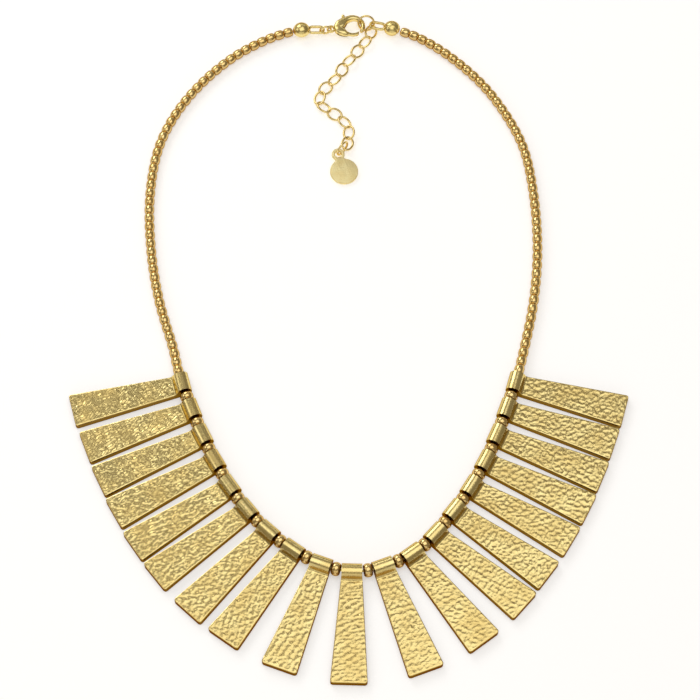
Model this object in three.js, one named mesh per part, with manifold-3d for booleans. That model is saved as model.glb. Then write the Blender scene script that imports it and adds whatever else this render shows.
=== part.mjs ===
// Bib necklace, laid flat with its clasp fastened. Nineteen cast paddles hang from one
// wire with a round spacer between each pair. Two strings of small beads run from the bib
// to a lobster clasp, and a short extension chain with a plain disc hangs beside it.
// Lengths are in millimetres. X runs to the right, Y towards the clasp and Z up, and
// everything rests on the plane Z = 0.

import * as THREE from 'three';
import { mergeVertices } from 'three/addons/utils/BufferGeometryUtils.js';
import Module from 'manifold-3d';

const wasm = await Module();
wasm.setup();

// Clear space between pieces that touch on the real necklace
const GAP = 0.3;

// Paddles: a tapered plate, cast in one with the tube that it hangs from
const PADDLE_COUNT = 19;
const PADDLE_REACH = 30.6;
const PLATE_THICKNESS = 2.0;
const PLATE_TOP_WIDTH = 5.7;
const PLATE_END_WIDTH = 9.7;
const PLATE_CORNER_RADIUS = 0.7;
const PLATE_EDGE_BEVEL = 0.25;
const TUBE_DIAMETER = 4.2;
const TUBE_LENGTH = 5.4;
const TUBE_BORE = 2.0;
const TUBE_SIDES = 12;
const SHOULDER_START = 0.8;
const SLOPE_RUN = 1.4;
const SLOPE_CROWN = 0.97;
const SLOPE_CROWN_RUN = 0.3;
const SLOPE_BEND = 1.25;
const SLOPE_SINK = 0.02;

// Wire and spacer beads
const WIRE_DIAMETER = 0.6;
const WIRE_SIDES = 5;
const SPACER_DIAMETER = 3.7;
const SPACER_LENGTH = 2.2;
const SPACER_GAP = 0.4;
const SPACER_BORE = 1.6;
const SPACER_FACE_SHARE = 0.62;
const SPACER_SIDES = 10;

// Bead strings
const BEAD_DIAMETER = 2.8;
const BEAD_LENGTH = 2.8;
const BEAD_NECK_DIAMETER = 1.1;
const BEAD_BELLY_START = 0.32;
const BEAD_SIDES = 10;

// Bead tips: the closed shells that end the strings, each with a loop
const TIP_LENGTH = 4.8;
const TIP_WIDTH = 4.6;
const TIP_HEIGHT = 4.0;
const TIP_LOOP_LENGTH = 5.2;
const TIP_LOOP_WIDTH = 3.0;
const TIP_LOOP_WIRE = 0.7;
const TIP_FULLNESS = 0.8;
const TIP_SIDES = 12;

// Jump rings
const RING_WIRE = 0.6;
const CLASP_RING_DIAMETER = 3.8;
const END_RING_DIAMETER = 5.3;
const CHARM_RING_DIAMETER = 4.9;
const RING_SEGMENTS = 14;
const RING_WIRE_SIDES = 6;

// Lobster clasp
const CLASP_THICKNESS = 2.4;
const CLASP_EDGE_BEVEL = 0.35;
const CLASP_HOLE_RADIUS = 2.35;
const CHEEK_ROOT = 0.38;
const CHEEK_BOTTOM_ANGLE = 234;
const CHEEK_EYE_BLEND = 1.2;
const CHEEK_BACK_SWELL = 1.9;
const CHEEK_PIVOT_SWELL = 2.1;
const CHEEK_BOTTOM_DEPTH = 0.87;
const HOOK_BAR = 1.25;
const HOOK_HEIGHT = 1.9;
const HOOK_BAR_SIDES = 8;
const HOOK_ROOT_ANGLE = 118;
const HOOK_TIP_ANGLE = -70;
const EYE_NECK = 3.0;
const EYE_BORE = 1.3;
const EYE_RIM = 0.65;
const EYE_THICKNESS = 1.0;
const EYE_EDGE_BEVEL = 0.2;
const LEVER_THICKNESS = 0.8;
const LEVER_SIDE_CLEARANCE = 0.2;
const LEVER_WIDTH = 0.9;
const LEVER_REACH = 4.5;
const LEVER_PIVOT_INSET = 0.6;
const LEVER_PIVOT_DROP = 1.35;
const LEVER_SWING_ROOM = 1.95;
const LEVER_PIN_DIAMETER = 0.6;
const LEVER_PIN_CLEARANCE = 0.15;
const LEVER_BOSS_WALL = 0.3;
const LEVER_NUB_DIAMETER = 1.1;
const LEVER_NUB_OFFSET = 0.55;
const LEVER_NUB_PROUD = 0.45;

// Extension chain and its disc
const LINK_COUNT = 13;
const LINK_WIDTH = 3.7;
const LINK_WIRE = 0.6;
const LINK_SOLDER = 0.2;
const LINK_ROLL = 20;
const CHAIN_END_LIFT = 0.35;
const LINK_SEGMENTS = 10;
const LINK_WIRE_SIDES = 5;
const DISC_DIAMETER = 8.0;
const DISC_THICKNESS = 0.9;
const DISC_RIM_BEVEL = 0.2;
const TAB_DIAMETER = 3.7;
const TAB_BORE = 1.9;
const TAB_ROOT = 0.2;
const TAB_LIFT = 0.95;

// Chosen points of the necklace's path on the surface, from the left bead tip round to
// the right one. The bib's middle point carries the middle paddle.
const ROUTE_LEFT = [
  [-16.7, 105.95], [-23.7, 103.2], [-33.6, 97.0], [-43.2, 87.4], [-50.4, 76.6],
  [-54.9, 65.1], [-56.8, 49.0], [-55.8, 31.0], [-53.0, 15.0], [-48.6, 0.0],
];
const ROUTE_BIB = [
  [-45.8, -11.0], [-36.2, -34.5], [-27.2, -49.0], [-15.2, -60.3], [0.5, -66.6],
  [16.5, -61.5], [27.9, -48.8], [36.4, -34.4], [44.9, -11.5],
];
const ROUTE_RIGHT = [
  [47.9, 0.0], [51.0, 15.0], [52.6, 31.0], [52.2, 49.0], [49.8, 65.0],
  [45.0, 76.6], [38.2, 87.4], [28.5, 97.5], [20.2, 103.5], [14.7, 106.0],
];

// Chosen points of the extension chain's path, from the end ring to the charm ring
const ROUTE_CHAIN = [
  [6.95, 107.85], [4.4, 102.0], [-0.8, 95.2], [-4.6, 88.6], [-8.6, 84.4], [-9.3, 81.4],
  [-7.0, 78.6], [-1.8, 75.0], [0.0, 70.3], [-1.3, 64.8],
];

// Middle of the clasp's hole, the fastened clasp's turn in plan, and the disc's middle
const CLASP_CENTRE = [0.9, 107.1];
const CLASP_TURN = 8;
const DISC_CENTRE = [-1.7, 57.4];
const TAB_CENTRE_X = -3.4;

// How the rings stand: the end ring's reach past the hook, its shift and its lean from
// upright, the clasp's lift above its ring's middle, and the charm ring's heading
const END_RING_REACH = 0.9;
const END_RING_SHIFT = 1.0;
const END_RING_LEAN = 28;
const CLASP_LIFT = 0.15;
const CHARM_RING_HEADING = 50;

// How far each paddle leans from square to the wire, in degrees, from left to right
const PADDLE_LEANS = [
  { paddle: 1, lean: -3.3 }, { paddle: 2, lean: 0.3 }, { paddle: 3, lean: 2.5 },
  { paddle: 4, lean: 2.6 }, { paddle: 5, lean: 3.1 }, { paddle: 6, lean: -1.1 },
  { paddle: 7, lean: 1 }, { paddle: 8, lean: -3.6 }, { paddle: 9, lean: 3.2 },
  { paddle: 10, lean: 0.6 }, { paddle: 11, lean: 2.3 }, { paddle: 12, lean: 4.6 },
  { paddle: 13, lean: -1.1 }, { paddle: 14, lean: -0.8 }, { paddle: 15, lean: -0.2 },
  { paddle: 16, lean: -1.3 }, { paddle: 17, lean: -2.2 }, { paddle: 18, lean: -0.6 },
  { paddle: 19, lean: 1.5 },
];

const brushedGold = { color: 0xc9b060, roughness: 0.38, metalness: 1 };
const polishedGold = { color: 0xd9ae62, roughness: 0.18, metalness: 1 };
const wireGold = { color: 0xb59a5a, roughness: 0.4, metalness: 1 };

const necklace = new THREE.Group();

function addPiece(name, geometry, finish, parent = necklace) {
  const mesh = new THREE.Mesh(geometry, new THREE.MeshStandardMaterial(finish));
  mesh.name = name;
  parent.add(mesh);
  return mesh;
}

// Solids for joining and cutting

function toSolid(geometry) {
  const bare = geometry.clone();
  bare.deleteAttribute('normal');
  bare.deleteAttribute('uv');
  const merged = mergeVertices(bare, 1e-5);
  return new wasm.Manifold(new wasm.Mesh({
    numProp: 3,
    vertProperties: new Float32Array(merged.attributes.position.array),
    triVerts: new Uint32Array(merged.index.array),
  }));
}

function toGeometry(solid) {
  const mesh = solid.getMesh();
  const geometry = new THREE.BufferGeometry();
  geometry.setAttribute('position', new THREE.BufferAttribute(mesh.vertProperties, 3));
  geometry.setIndex(new THREE.BufferAttribute(mesh.triVerts, 1));
  geometry.computeVertexNormals();
  return geometry;
}

function joined(...geometries) {
  return geometries.map(toSolid).reduce((whole, next) => whole.add(next));
}

// A shape in the X-Y plane, extruded upwards from z with its edges bevelled
function slab(shape, z, thickness, bevel = 0, curveSegments = 6) {
  const geometry = new THREE.ExtrudeGeometry(shape, {
    depth: thickness - 2 * bevel,
    bevelEnabled: bevel > 0,
    bevelThickness: bevel,
    bevelSize: bevel,
    bevelOffset: -bevel,
    bevelSegments: 1,
    curveSegments,
  });
  return geometry.translate(0, 0, z + bevel);
}

function rod(diameter, length, sides) {
  return new THREE.CylinderGeometry(diameter / 2, diameter / 2, length, sides);
}

// Paddles

// The plate starts under the tube, widens at its shoulders and tapers out to its end.
function plateShape() {
  const shoulder = TUBE_DIAMETER / 2;
  const neckHalf = TUBE_LENGTH / 2 - PLATE_EDGE_BEVEL;
  const topHalf = PLATE_TOP_WIDTH / 2;
  const endHalf = PLATE_END_WIDTH / 2;
  const r = PLATE_CORNER_RADIUS;
  const shape = new THREE.Shape();
  shape.moveTo(0, -neckHalf);
  shape.lineTo(shoulder * SHOULDER_START, -neckHalf);
  shape.lineTo(shoulder, -topHalf);
  shape.lineTo(PADDLE_REACH - r, -endHalf);
  shape.quadraticCurveTo(PADDLE_REACH, -endHalf, PADDLE_REACH, -endHalf + r);
  shape.lineTo(PADDLE_REACH, endHalf - r);
  shape.quadraticCurveTo(PADDLE_REACH, endHalf, PADDLE_REACH - r, endHalf);
  shape.lineTo(shoulder, topHalf);
  shape.lineTo(shoulder * SHOULDER_START, neckHalf);
  shape.lineTo(0, neckHalf);
  return shape;
}

// Section of the slope that carries the tube's crown down to the plate's face
function slopeShape() {
  const radius = TUBE_DIAMETER / 2;
  const inside = PLATE_THICKNESS / 2;
  const crown = TUBE_DIAMETER * SLOPE_CROWN;
  const crownEnd = radius * SLOPE_CROWN_RUN;
  const foot = radius + SLOPE_RUN;
  const shape = new THREE.Shape();
  shape.moveTo(0, inside);
  shape.lineTo(foot, inside);
  shape.lineTo(foot, PLATE_THICKNESS - SLOPE_SINK);
  shape.quadraticCurveTo(radius + SLOPE_RUN / 2, PLATE_THICKNESS, radius, radius * SLOPE_BEND);
  shape.quadraticCurveTo((radius + crownEnd) / 2, crown, crownEnd, crown);
  shape.lineTo(0, radius);
  return shape;
}

// The paddle points along +X, its tube lies along Y and its flat back is on Z = 0.
function paddleGeometry() {
  const radius = TUBE_DIAMETER / 2;
  const plate = slab(plateShape(), 0, PLATE_THICKNESS, PLATE_EDGE_BEVEL, 2);
  const tube = rod(TUBE_DIAMETER, TUBE_LENGTH, TUBE_SIDES).translate(0, 0, radius);
  const slope = slab(slopeShape(), -TUBE_LENGTH / 2, TUBE_LENGTH, 0, 2).rotateX(Math.PI / 2);
  const bore = rod(TUBE_BORE, TUBE_LENGTH + PLATE_END_WIDTH, 7).translate(0, 0, radius);
  return toGeometry(joined(plate, tube, slope).subtract(toSolid(bore)));
}

// Wire, spacers and the place of each piece along them

function onSurface([x, y], height) {
  return new THREE.Vector3(x, y, height);
}

const route = new THREE.CatmullRomCurve3([
  ...ROUTE_LEFT.map((point) => onSurface(point, BEAD_DIAMETER / 2)),
  ...ROUTE_BIB.map((point) => onSurface(point, TUBE_DIAMETER / 2)),
  ...ROUTE_RIGHT.map((point) => onSurface(point, BEAD_DIAMETER / 2)),
], false, 'centripetal');
const ROUTE_STEPS_PER_SPAN = 100;
const routeSpans = route.points.length - 1;
route.arcLengthDivisions = routeSpans * ROUTE_STEPS_PER_SPAN;
const routeLengths = route.getLengths();
const routeLength = routeLengths.at(-1);

const paddlePitch = TUBE_LENGTH + SPACER_LENGTH + 2 * SPACER_GAP;
const middleSpan = ROUTE_LEFT.length + (ROUTE_BIB.length - 1) / 2;
const bibMiddle = routeLengths[middleSpan * ROUTE_STEPS_PER_SPAN];
const bibHalf = ((PADDLE_COUNT - 1) * paddlePitch + TUBE_LENGTH) / 2;

// The point at a distance along the route, with the route's direction there
function along(distance) {
  const t = distance / routeLength;
  const point = route.getPointAt(t);
  point.z = THREE.MathUtils.clamp(point.z, BEAD_DIAMETER / 2, TUBE_DIAMETER / 2);
  return { point, direction: route.getTangentAt(t) };
}

// A frame at a point of the route: X along the outward side, Y along the wire
function placeOnRoute(mesh, distance, height, lean = 0) {
  const { point, direction } = along(distance);
  const heading = Math.atan2(-direction.x, direction.y);
  mesh.position.set(point.x, point.y, height);
  mesh.rotation.z = heading + THREE.MathUtils.degToRad(lean);
}

function addPaddles() {
  const geometry = paddleGeometry();
  for (let i = 1; i <= PADDLE_COUNT; i += 1) {
    const mesh = addPiece(`paddle_${String(i).padStart(2, '0')}`, geometry, brushedGold);
    const lean = PADDLE_LEANS.find(({ paddle }) => paddle === i)?.lean ?? 0;
    placeOnRoute(mesh, bibMiddle + (i - (PADDLE_COUNT + 1) / 2) * paddlePitch, 0, lean);
  }
}

function spacerGeometry() {
  const half = SPACER_LENGTH / 2;
  const radius = SPACER_DIAMETER / 2;
  const profile = [
    new THREE.Vector2(SPACER_BORE / 2, -half),
    new THREE.Vector2(radius * SPACER_FACE_SHARE, -half),
    new THREE.Vector2(radius, 0),
    new THREE.Vector2(radius * SPACER_FACE_SHARE, half),
    new THREE.Vector2(SPACER_BORE / 2, half),
    new THREE.Vector2(SPACER_BORE / 2, -half),
  ];
  return new THREE.LatheGeometry(profile, SPACER_SIDES);
}

function addSpacers() {
  const geometry = spacerGeometry();
  for (let i = 1; i < PADDLE_COUNT; i += 1) {
    const mesh = addPiece(`spacer_bead_${String(i).padStart(2, '0')}`, geometry, polishedGold);
    placeOnRoute(mesh, bibMiddle + (i - PADDLE_COUNT / 2) * paddlePitch, TUBE_DIAMETER / 2);
  }
}

// A closed skin round a path: rings of the given radii, each square to the path
function sweptRings(stations, sides) {
  const positions = [];
  const indices = [];
  const up = new THREE.Vector3(0, 0, 1);
  for (const { point, direction, radius } of stations) {
    const side = new THREE.Vector3().crossVectors(direction, up).normalize();
    const over = new THREE.Vector3().crossVectors(side, direction).normalize();
    for (let k = 0; k < sides; k += 1) {
      const angle = (2 * Math.PI * (k + 0.5)) / sides;
      positions.push(...point.clone()
        .addScaledVector(side, radius * Math.cos(angle))
        .addScaledVector(over, radius * Math.sin(angle)));
    }
  }
  for (let i = 0; i < stations.length - 1; i += 1) {
    for (let k = 0; k < sides; k += 1) {
      const a = i * sides + k;
      const b = i * sides + (k + 1) % sides;
      indices.push(a, b + sides, b, a, a + sides, b + sides);
    }
  }
  const last = (stations.length - 1) * sides;
  for (let k = 1; k < sides - 1; k += 1) {
    indices.push(0, k, k + 1);
    indices.push(last, last + k + 1, last + k);
  }
  const geometry = new THREE.BufferGeometry();
  geometry.setAttribute('position', new THREE.Float32BufferAttribute(positions, 3));
  geometry.setIndex(indices);
  geometry.computeVertexNormals();
  return geometry;
}

function addWire() {
  const steps = 2 * PADDLE_COUNT;
  const stations = [];
  for (let i = 0; i <= steps; i += 1) {
    const distance = bibMiddle + bibHalf * ((2 * i) / steps - 1);
    const { point, direction } = along(distance);
    point.z = TUBE_DIAMETER / 2;
    stations.push({ point, direction: direction.setZ(0), radius: WIRE_DIAMETER / 2 });
  }
  addPiece('bib_wire', sweptRings(stations, WIRE_SIDES), wireGold);
}

// Bead strings

// The beads fill the way between two distances, evened out to a whole number.
function beadString(from, to) {
  const count = Math.round((to - from) / BEAD_LENGTH);
  const pitch = (to - from) / count;
  const neck = BEAD_NECK_DIAMETER / 2;
  const belly = BEAD_DIAMETER / 2;
  const rings = [
    { share: 0, radius: neck },
    { share: BEAD_BELLY_START, radius: belly },
    { share: 1 - BEAD_BELLY_START, radius: belly },
  ];
  const stations = [];
  for (let i = 0; i < count; i += 1) {
    for (const { share, radius } of rings) {
      stations.push({ ...along(from + (i + share) * pitch), radius });
    }
  }
  stations.push({ ...along(to), radius: neck });
  return sweptRings(stations, BEAD_SIDES);
}

function addBeadStrings() {
  const left = beadString(GAP, bibMiddle - bibHalf - GAP);
  const right = beadString(bibMiddle + bibHalf + GAP, routeLength - GAP);
  addPiece('bead_string_left', left, polishedGold);
  addPiece('bead_string_right', right, polishedGold);
}

// Bead tips

// A ring of round wire drawn out to a given length, lying in the X-Y plane
function oval(length, width, wire, segments, wireSides) {
  const ring = new THREE.TorusGeometry((width - wire) / 2, wire / 2, wireSides, segments);
  const position = ring.attributes.position;
  const stretch = (length - width) / 2;
  for (let i = 0; i < position.count; i += 1) {
    const x = position.getX(i);
    position.setX(i, x + Math.sign(x) * stretch);
  }
  return ring;
}

// The shell is centred on the origin with its loop towards +X.
function beadTipGeometry() {
  const profile = [];
  const steps = 6;
  for (let i = 0; i <= steps; i += 1) {
    const angle = (Math.PI * i) / steps;
    const radius = i === 0 || i === steps ? 0 : (TIP_WIDTH / 2) * Math.sin(angle) ** TIP_FULLNESS;
    profile.push(new THREE.Vector2(radius, (-TIP_LENGTH / 2) * Math.cos(angle)));
  }
  const shell = new THREE.LatheGeometry(profile, TIP_SIDES);
  shell.rotateZ(-Math.PI / 2).scale(1, 1, TIP_HEIGHT / TIP_WIDTH);
  const loop = oval(TIP_LOOP_LENGTH, TIP_LOOP_WIDTH, TIP_LOOP_WIRE, 10, 6);
  loop.translate(TIP_LENGTH / 2 + TIP_LOOP_LENGTH / 2 - TIP_LOOP_WIRE, 0, 0);
  return toGeometry(joined(shell, loop));
}

// Where a bead tip lies: past the string's end, turned to face the ring that it holds
function tipPlace(end, target) {
  const heading = Math.atan2(target.y - end.y, target.x - end.x);
  const middle = TIP_LENGTH / 2;
  return {
    x: end.x + middle * Math.cos(heading),
    y: end.y + middle * Math.sin(heading),
    heading,
  };
}

function addBeadTips(leftPlace, rightPlace) {
  const geometry = beadTipGeometry();
  for (const [name, place] of [['bead_tip_left', leftPlace], ['bead_tip_right', rightPlace]]) {
    const mesh = addPiece(name, geometry, polishedGold);
    mesh.position.set(place.x, place.y, TIP_HEIGHT / 2);
    mesh.rotation.z = place.heading;
  }
}

// Jump rings

// A round ring that stands on a heading in plan and leans away from upright
function addRing(name, diameter, centre, heading, lean) {
  const radius = (diameter - RING_WIRE) / 2;
  const geometry = new THREE.TorusGeometry(radius, RING_WIRE / 2, RING_WIRE_SIDES, RING_SEGMENTS);
  const mesh = addPiece(name, geometry, polishedGold);
  mesh.position.copy(centre);
  mesh.rotation.set(Math.PI / 2 - lean, 0, heading, 'ZYX');
  return mesh;
}

// Clasp, drawn about the middle of its hole with its eye towards -X

const hookRadius = CLASP_HOLE_RADIUS + HOOK_BAR / 2;
const claspHalfWidth = CLASP_HOLE_RADIUS + HOOK_BAR;
const eyeReach = claspHalfWidth + EYE_NECK;
const eyeHalf = EYE_BORE / 2 + EYE_RIM;
const leverPivot = new THREE.Vector2(-CLASP_HOLE_RADIUS - LEVER_PIVOT_INSET, -LEVER_PIVOT_DROP);
const nubPoint = new THREE.Vector2(
  leverPivot.x + LEVER_NUB_OFFSET,
  claspHalfWidth + LEVER_NUB_PROUD,
);

function cheekShape() {
  const rootX = -CHEEK_ROOT * CLASP_HOLE_RADIUS;
  const backX = -eyeReach + EYE_BORE / 2 + EYE_RIM / 2;
  const blendX = backX + CHEEK_EYE_BLEND * EYE_RIM;
  const shape = new THREE.Shape();
  shape.moveTo(rootX, claspHalfWidth);
  shape.bezierCurveTo(
    rootX - claspHalfWidth / 2, claspHalfWidth, blendX, eyeHalf * CHEEK_BACK_SWELL,
    backX, eyeHalf);
  shape.lineTo(backX, -eyeHalf);
  shape.bezierCurveTo(
    blendX, -eyeHalf * CHEEK_BACK_SWELL, leverPivot.x - EYE_RIM,
    leverPivot.y * CHEEK_PIVOT_SWELL, leverPivot.x + EYE_RIM,
    -claspHalfWidth * CHEEK_BOTTOM_DEPTH);
  const bottom = THREE.MathUtils.degToRad(CHEEK_BOTTOM_ANGLE);
  const top = Math.PI - Math.acos(CHEEK_ROOT);
  shape.absarc(0, 0, CLASP_HOLE_RADIUS, bottom, top, true);
  return shape;
}

// The hook curls round its hole and stops short of the gate's end.
function hookSolid() {
  const start = THREE.MathUtils.degToRad(HOOK_ROOT_ANGLE);
  const end = THREE.MathUtils.degToRad(HOOK_TIP_ANGLE);
  const steps = 12;
  const stations = [];
  for (let i = 0; i <= steps; i += 1) {
    const angle = start + ((end - start) * i) / steps;
    const outward = new THREE.Vector3(Math.cos(angle), Math.sin(angle), 0);
    stations.push({
      point: outward.clone().multiplyScalar(hookRadius),
      direction: new THREE.Vector3(outward.y, -outward.x, 0),
      radius: HOOK_BAR / 2,
    });
  }
  const swing = new THREE.Shape();
  swing.moveTo(leverPivot.x, leverPivot.y);
  swing.lineTo(leverPivot.x, leverPivot.y - LEVER_REACH - GAP);
  swing.absarc(leverPivot.x, leverPivot.y, LEVER_REACH + GAP, -Math.PI / 2, 0, false);
  const gateRoom = slab(swing, -CLASP_THICKNESS, 2 * CLASP_THICKNESS, 0, 24);
  const bar = sweptRings(stations, HOOK_BAR_SIDES).scale(1, 1, HOOK_HEIGHT / HOOK_BAR);
  return toSolid(bar).subtract(toSolid(gateRoom));
}

// A box from one corner to the other in plan, centred on Z = 0
function block(left, bottom, right, top, thickness) {
  const box = new THREE.BoxGeometry(right - left, top - bottom, thickness);
  return box.translate((left + right) / 2, (bottom + top) / 2, 0);
}

function claspBodyGeometry() {
  const cheeks = slab(cheekShape(), -CLASP_THICKNESS / 2, CLASP_THICKNESS, CLASP_EDGE_BEVEL, 5);
  const eyeShape = new THREE.Shape();
  eyeShape.absarc(-eyeReach, 0, eyeHalf, 0, 2 * Math.PI);
  const eye = slab(eyeShape, -EYE_THICKNESS / 2, EYE_THICKNESS, EYE_EDGE_BEVEL, 6);
  const eyeBore = rod(EYE_BORE, CLASP_THICKNESS * 2, 12).rotateX(Math.PI / 2);
  eyeBore.translate(-eyeReach, 0, 0);
  const slotHeight = LEVER_THICKNESS + 2 * LEVER_SIDE_CLEARANCE;
  const slotLeft = leverPivot.x - LEVER_SWING_ROOM;
  const slotTop = 2 * claspHalfWidth;
  const nubSide = nubPoint.x + LEVER_WIDTH / 2 + LEVER_SIDE_CLEARANCE;
  const slot = joined(
    block(slotLeft, -slotTop, nubSide, slotTop, slotHeight),
    block(nubSide - GAP, -slotTop, 0, leverPivot.y + LEVER_WIDTH, slotHeight),
  );
  const pin = rod(LEVER_PIN_DIAMETER, CLASP_THICKNESS - CLASP_EDGE_BEVEL, 8).rotateX(Math.PI / 2);
  pin.translate(leverPivot.x, leverPivot.y, 0);
  const body = joined(cheeks, eye).subtract(slot).subtract(toSolid(eyeBore));
  return toGeometry(body.add(hookSolid()).add(toSolid(pin)));
}

// Lever: a pivot boss, a gate that closes the hole below and a nub above
function leverGeometry() {
  const half = LEVER_WIDTH / 2;
  const bossRadius = LEVER_PIN_DIAMETER / 2 + LEVER_PIN_CLEARANCE + LEVER_BOSS_WALL;
  const boss = new THREE.Shape();
  boss.absarc(leverPivot.x, leverPivot.y, bossRadius, 0, 2 * Math.PI);
  const gate = new THREE.Shape();
  const gateStart = Math.atan2(leverPivot.y, leverPivot.x);
  gate.absarc(0, 0, hookRadius + half, gateStart, 0, false);
  gate.absarc(0, 0, hookRadius - half, 0, gateStart, true);
  const reach = new THREE.Shape();
  reach.absarc(leverPivot.x, leverPivot.y, LEVER_REACH, -Math.PI, 0, false);
  const arm = new THREE.Shape();
  arm.moveTo(leverPivot.x - half, leverPivot.y);
  arm.lineTo(leverPivot.x + half, leverPivot.y);
  arm.lineTo(leverPivot.x + half, -leverPivot.y);
  arm.lineTo(nubPoint.x + half, nubPoint.y);
  arm.lineTo(nubPoint.x - half, nubPoint.y);
  arm.lineTo(leverPivot.x - half, -leverPivot.y);
  const flat = (shape, curveSegments) =>
    toSolid(slab(shape, -LEVER_THICKNESS / 2, LEVER_THICKNESS, 0, curveSegments));
  const nub = new THREE.SphereGeometry(LEVER_NUB_DIAMETER / 2, 8, 6);
  nub.translate(nubPoint.x, nubPoint.y, 0);
  const hole = rod(LEVER_PIN_DIAMETER + 2 * LEVER_PIN_CLEARANCE, CLASP_THICKNESS, 8);
  hole.rotateX(Math.PI / 2).translate(leverPivot.x, leverPivot.y, 0);
  const lever = flat(gate, 8).intersect(flat(reach, 24)).add(flat(boss, 6)).add(flat(arm, 1));
  return toGeometry(lever.add(toSolid(nub)).subtract(toSolid(hole)));
}

function addClasp() {
  const clasp = new THREE.Group();
  clasp.position.set(CLASP_CENTRE[0], CLASP_CENTRE[1], CLASP_RING_DIAMETER / 2 + CLASP_LIFT);
  clasp.rotation.z = THREE.MathUtils.degToRad(CLASP_TURN);
  necklace.add(clasp);
  addPiece('clasp_body', claspBodyGeometry(), polishedGold, clasp);
  addPiece('clasp_lever', leverGeometry(), polishedGold, clasp);
}

// Extension chain: links soldered at their crossings, rolled to either side in turn

function chainGeometry() {
  const rise = (LINK_WIDTH - LINK_WIRE) / 2 * Math.sin(THREE.MathUtils.degToRad(LINK_ROLL));
  const height = rise + LINK_WIRE / 2;
  const points = ROUTE_CHAIN.map((point) => onSurface(point, height));
  points.at(-1).z += CHAIN_END_LIFT;
  const path = new THREE.CatmullRomCurve3(points, false, 'centripetal');
  path.arcLengthDivisions = ROUTE_STEPS_PER_SPAN * ROUTE_CHAIN.length;
  const pitch = path.getLength() / LINK_COUNT;
  const linkLength = pitch + 2 * LINK_WIRE - LINK_SOLDER;
  const link = toSolid(oval(linkLength, LINK_WIDTH, LINK_WIRE, LINK_SEGMENTS, LINK_WIRE_SIDES));
  let chain = null;
  for (let i = 0; i < LINK_COUNT; i += 1) {
    const from = path.getPointAt(i / LINK_COUNT);
    const to = path.getPointAt((i + 1) / LINK_COUNT);
    const direction = to.clone().sub(from).normalize();
    const roll = THREE.MathUtils.degToRad(i % 2 === 0 ? -LINK_ROLL : LINK_ROLL);
    const middle = from.clone().addScaledVector(direction, pitch / 2);
    const turn = new THREE.Matrix4().makeRotationZ(Math.atan2(direction.y, direction.x));
    turn.multiply(new THREE.Matrix4().makeRotationY(-Math.asin(direction.z)));
    turn.multiply(new THREE.Matrix4().makeRotationX(roll)).setPosition(middle);
    const placed = link.transform(turn.elements);
    chain = chain ? chain.add(placed) : placed;
  }
  return toGeometry(chain);
}

// Disc with its holed tab, drawn flat about the disc's middle with the tab towards +X.
// The tab is sunk into the disc's rim at its root.

const tabReach = (DISC_DIAMETER + TAB_DIAMETER) / 2 - TAB_ROOT;

function discGeometry() {
  const disc = new THREE.Shape();
  disc.absarc(0, 0, DISC_DIAMETER / 2, 0, 2 * Math.PI);
  const tab = new THREE.Shape();
  tab.absarc(tabReach, 0, TAB_DIAMETER / 2, 0, 2 * Math.PI);
  const bore = rod(TAB_BORE, 4 * DISC_THICKNESS, 12).rotateX(Math.PI / 2);
  bore.translate(tabReach, 0, 0);
  return toGeometry(joined(
    slab(disc, 0, DISC_THICKNESS, DISC_RIM_BEVEL, 10),
    slab(tab, 0, DISC_THICKNESS, DISC_RIM_BEVEL, 6),
  ).subtract(toSolid(bore)));
}

function addDisc() {
  const tilt = Math.asin(TAB_LIFT / (tabReach + DISC_DIAMETER / 2));
  const across = TAB_CENTRE_X - DISC_CENTRE[0];
  const heading = Math.acos(across / (tabReach * Math.cos(tilt)));
  const mesh = addPiece('charm_disc', discGeometry(), polishedGold);
  mesh.position.set(DISC_CENTRE[0], DISC_CENTRE[1], Math.sin(tilt) * (DISC_DIAMETER / 2));
  mesh.rotation.set(0, -tilt, heading, 'ZYX');
  mesh.updateMatrix();
  return new THREE.Vector3(tabReach, 0, DISC_THICKNESS / 2).applyMatrix4(mesh.matrix);
}

addPaddles();
addSpacers();
addWire();
addBeadStrings();
addClasp();

// The clasp ring hangs between the clasp's eye and the left tip's loop.
const claspTurn = THREE.MathUtils.degToRad(CLASP_TURN);
const claspRingReach = eyeReach + (CLASP_RING_DIAMETER - RING_WIRE) / 2;
const claspRingCentre = new THREE.Vector3(
  CLASP_CENTRE[0] - claspRingReach * Math.cos(claspTurn),
  CLASP_CENTRE[1] - claspRingReach * Math.sin(claspTurn),
  CLASP_RING_DIAMETER / 2,
);
addRing('clasp_ring', CLASP_RING_DIAMETER, claspRingCentre, claspTurn, 0);

// The end ring holds the hook, the right tip's loop and the extension chain.
const endRingLean = THREE.MathUtils.degToRad(END_RING_LEAN);
const endRingCentre = new THREE.Vector3(
  CLASP_CENTRE[0] + hookRadius + END_RING_REACH,
  CLASP_CENTRE[1] + END_RING_SHIFT,
  (END_RING_DIAMETER - RING_WIRE) / 2 * Math.cos(endRingLean) + RING_WIRE / 2,
);
addRing('end_ring', END_RING_DIAMETER, endRingCentre, 0, endRingLean);

const leftEnd = along(0).point;
const rightEnd = along(routeLength).point;
addBeadTips(tipPlace(leftEnd, claspRingCentre), tipPlace(rightEnd, endRingCentre));

addPiece('extension_chain', chainGeometry(), polishedGold);

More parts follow.
